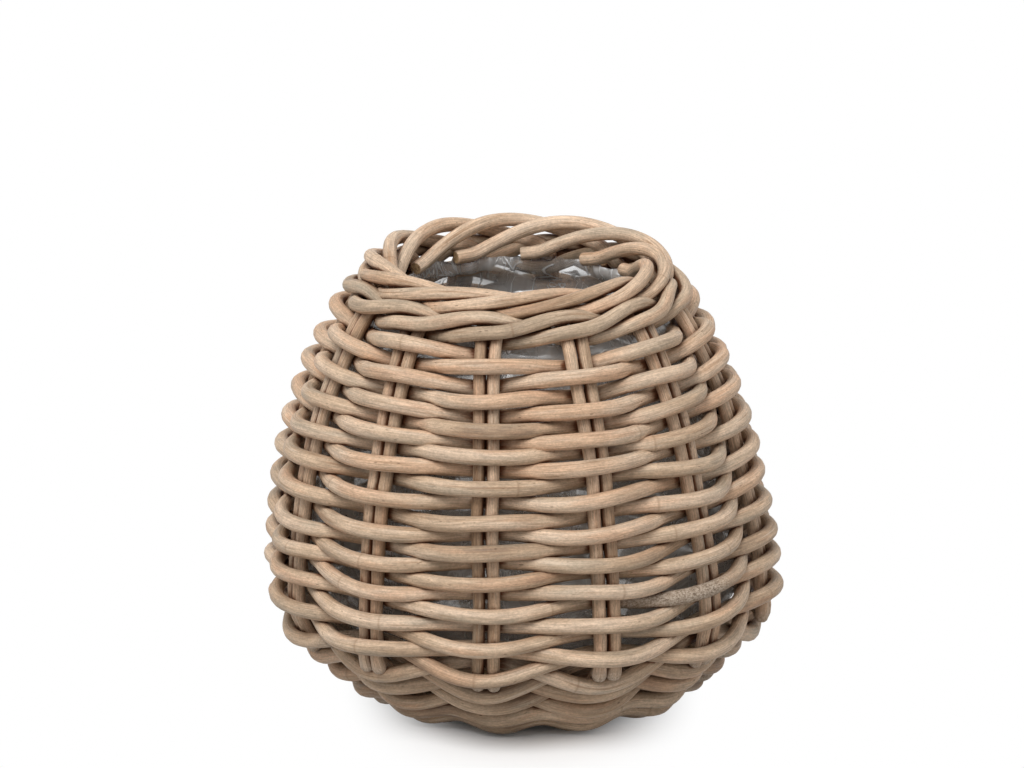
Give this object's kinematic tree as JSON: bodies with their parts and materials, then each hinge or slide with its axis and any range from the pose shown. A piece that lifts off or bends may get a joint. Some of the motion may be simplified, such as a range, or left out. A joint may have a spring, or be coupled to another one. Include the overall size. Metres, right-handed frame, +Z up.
{
  "type": "rattan cachepot",
  "caption": "Round bellied plant pot cover woven from thick rattan rods, narrowing to a rolled border, with a clear film liner that keeps water off the weave.",
  "frame": {"origin": "on the floor, under the middle of the pot", "axes": "+Z up through the mouth, -Y to the front of the picture, +X to its right"},
  "size_m": [0.4013, 0.4015, 0.3495],
  "materials": {
    "stake_rattan": "matt unpeeled rattan, yellowish, split along its fibres",
    "weaver_rattan": "matt greyed rattan with ring marks and dark pits",
    "wale_rattan": "matt greyed rattan with ring marks",
    "base_rattan": "matt rattan, darker than the wall",
    "liner_film": "clear crumpled film, glossy"
  },
  "bodies": {
    "root": {"stake_01": "stake_rattan", "stake_02": "stake_rattan", "stake_03": "stake_rattan", "stake_04": "stake_rattan", "stake_05": "stake_rattan", "stake_06": "stake_rattan", "stake_07": "stake_rattan", "stake_08": "stake_rattan", "stake_09": "stake_rattan", "stake_10": "stake_rattan", "stake_11": "stake_rattan", "stake_12": "stake_rattan", "bye_stake_01": "stake_rattan", "bye_stake_02": "stake_rattan", "bye_stake_03": "stake_rattan", "bye_stake_04": "stake_rattan", "bye_stake_05": "stake_rattan", "bye_stake_06": "stake_rattan", "bye_stake_07": "stake_rattan", "bye_stake_08": "stake_rattan", "bye_stake_09": "stake_rattan", "bye_stake_10": "stake_rattan", "bye_stake_11": "stake_rattan", "bye_stake_12": "stake_rattan", "weaver_01": "weaver_rattan", "weaver_02": "weaver_rattan", "weaver_03": "weaver_rattan", "weaver_04": "weaver_rattan", "weaver_05": "weaver_rattan", "weaver_06": "weaver_rattan", "weaver_07": "weaver_rattan", "weaver_08": "weaver_rattan", "weaver_09": "weaver_rattan", "weaver_10": "weaver_rattan", "weaver_11": "weaver_rattan", "weaver_12": "weaver_rattan", "weaver_13": "weaver_rattan", "weaver_14": "weaver_rattan", "wale_rod_01": "wale_rattan", "wale_rod_02": "wale_rattan", "wale_rod_03": "wale_rattan", "base_stick_01": "base_rattan", "base_stick_02": "base_rattan", "base_stick_03": "base_rattan", "base_stick_04": "base_rattan", "base_stick_05": "base_rattan", "base_stick_06": "base_rattan", "base_weaver_01": "base_rattan", "base_weaver_02": "base_rattan", "liner": "liner_film"}
  },
  "joints": []
}
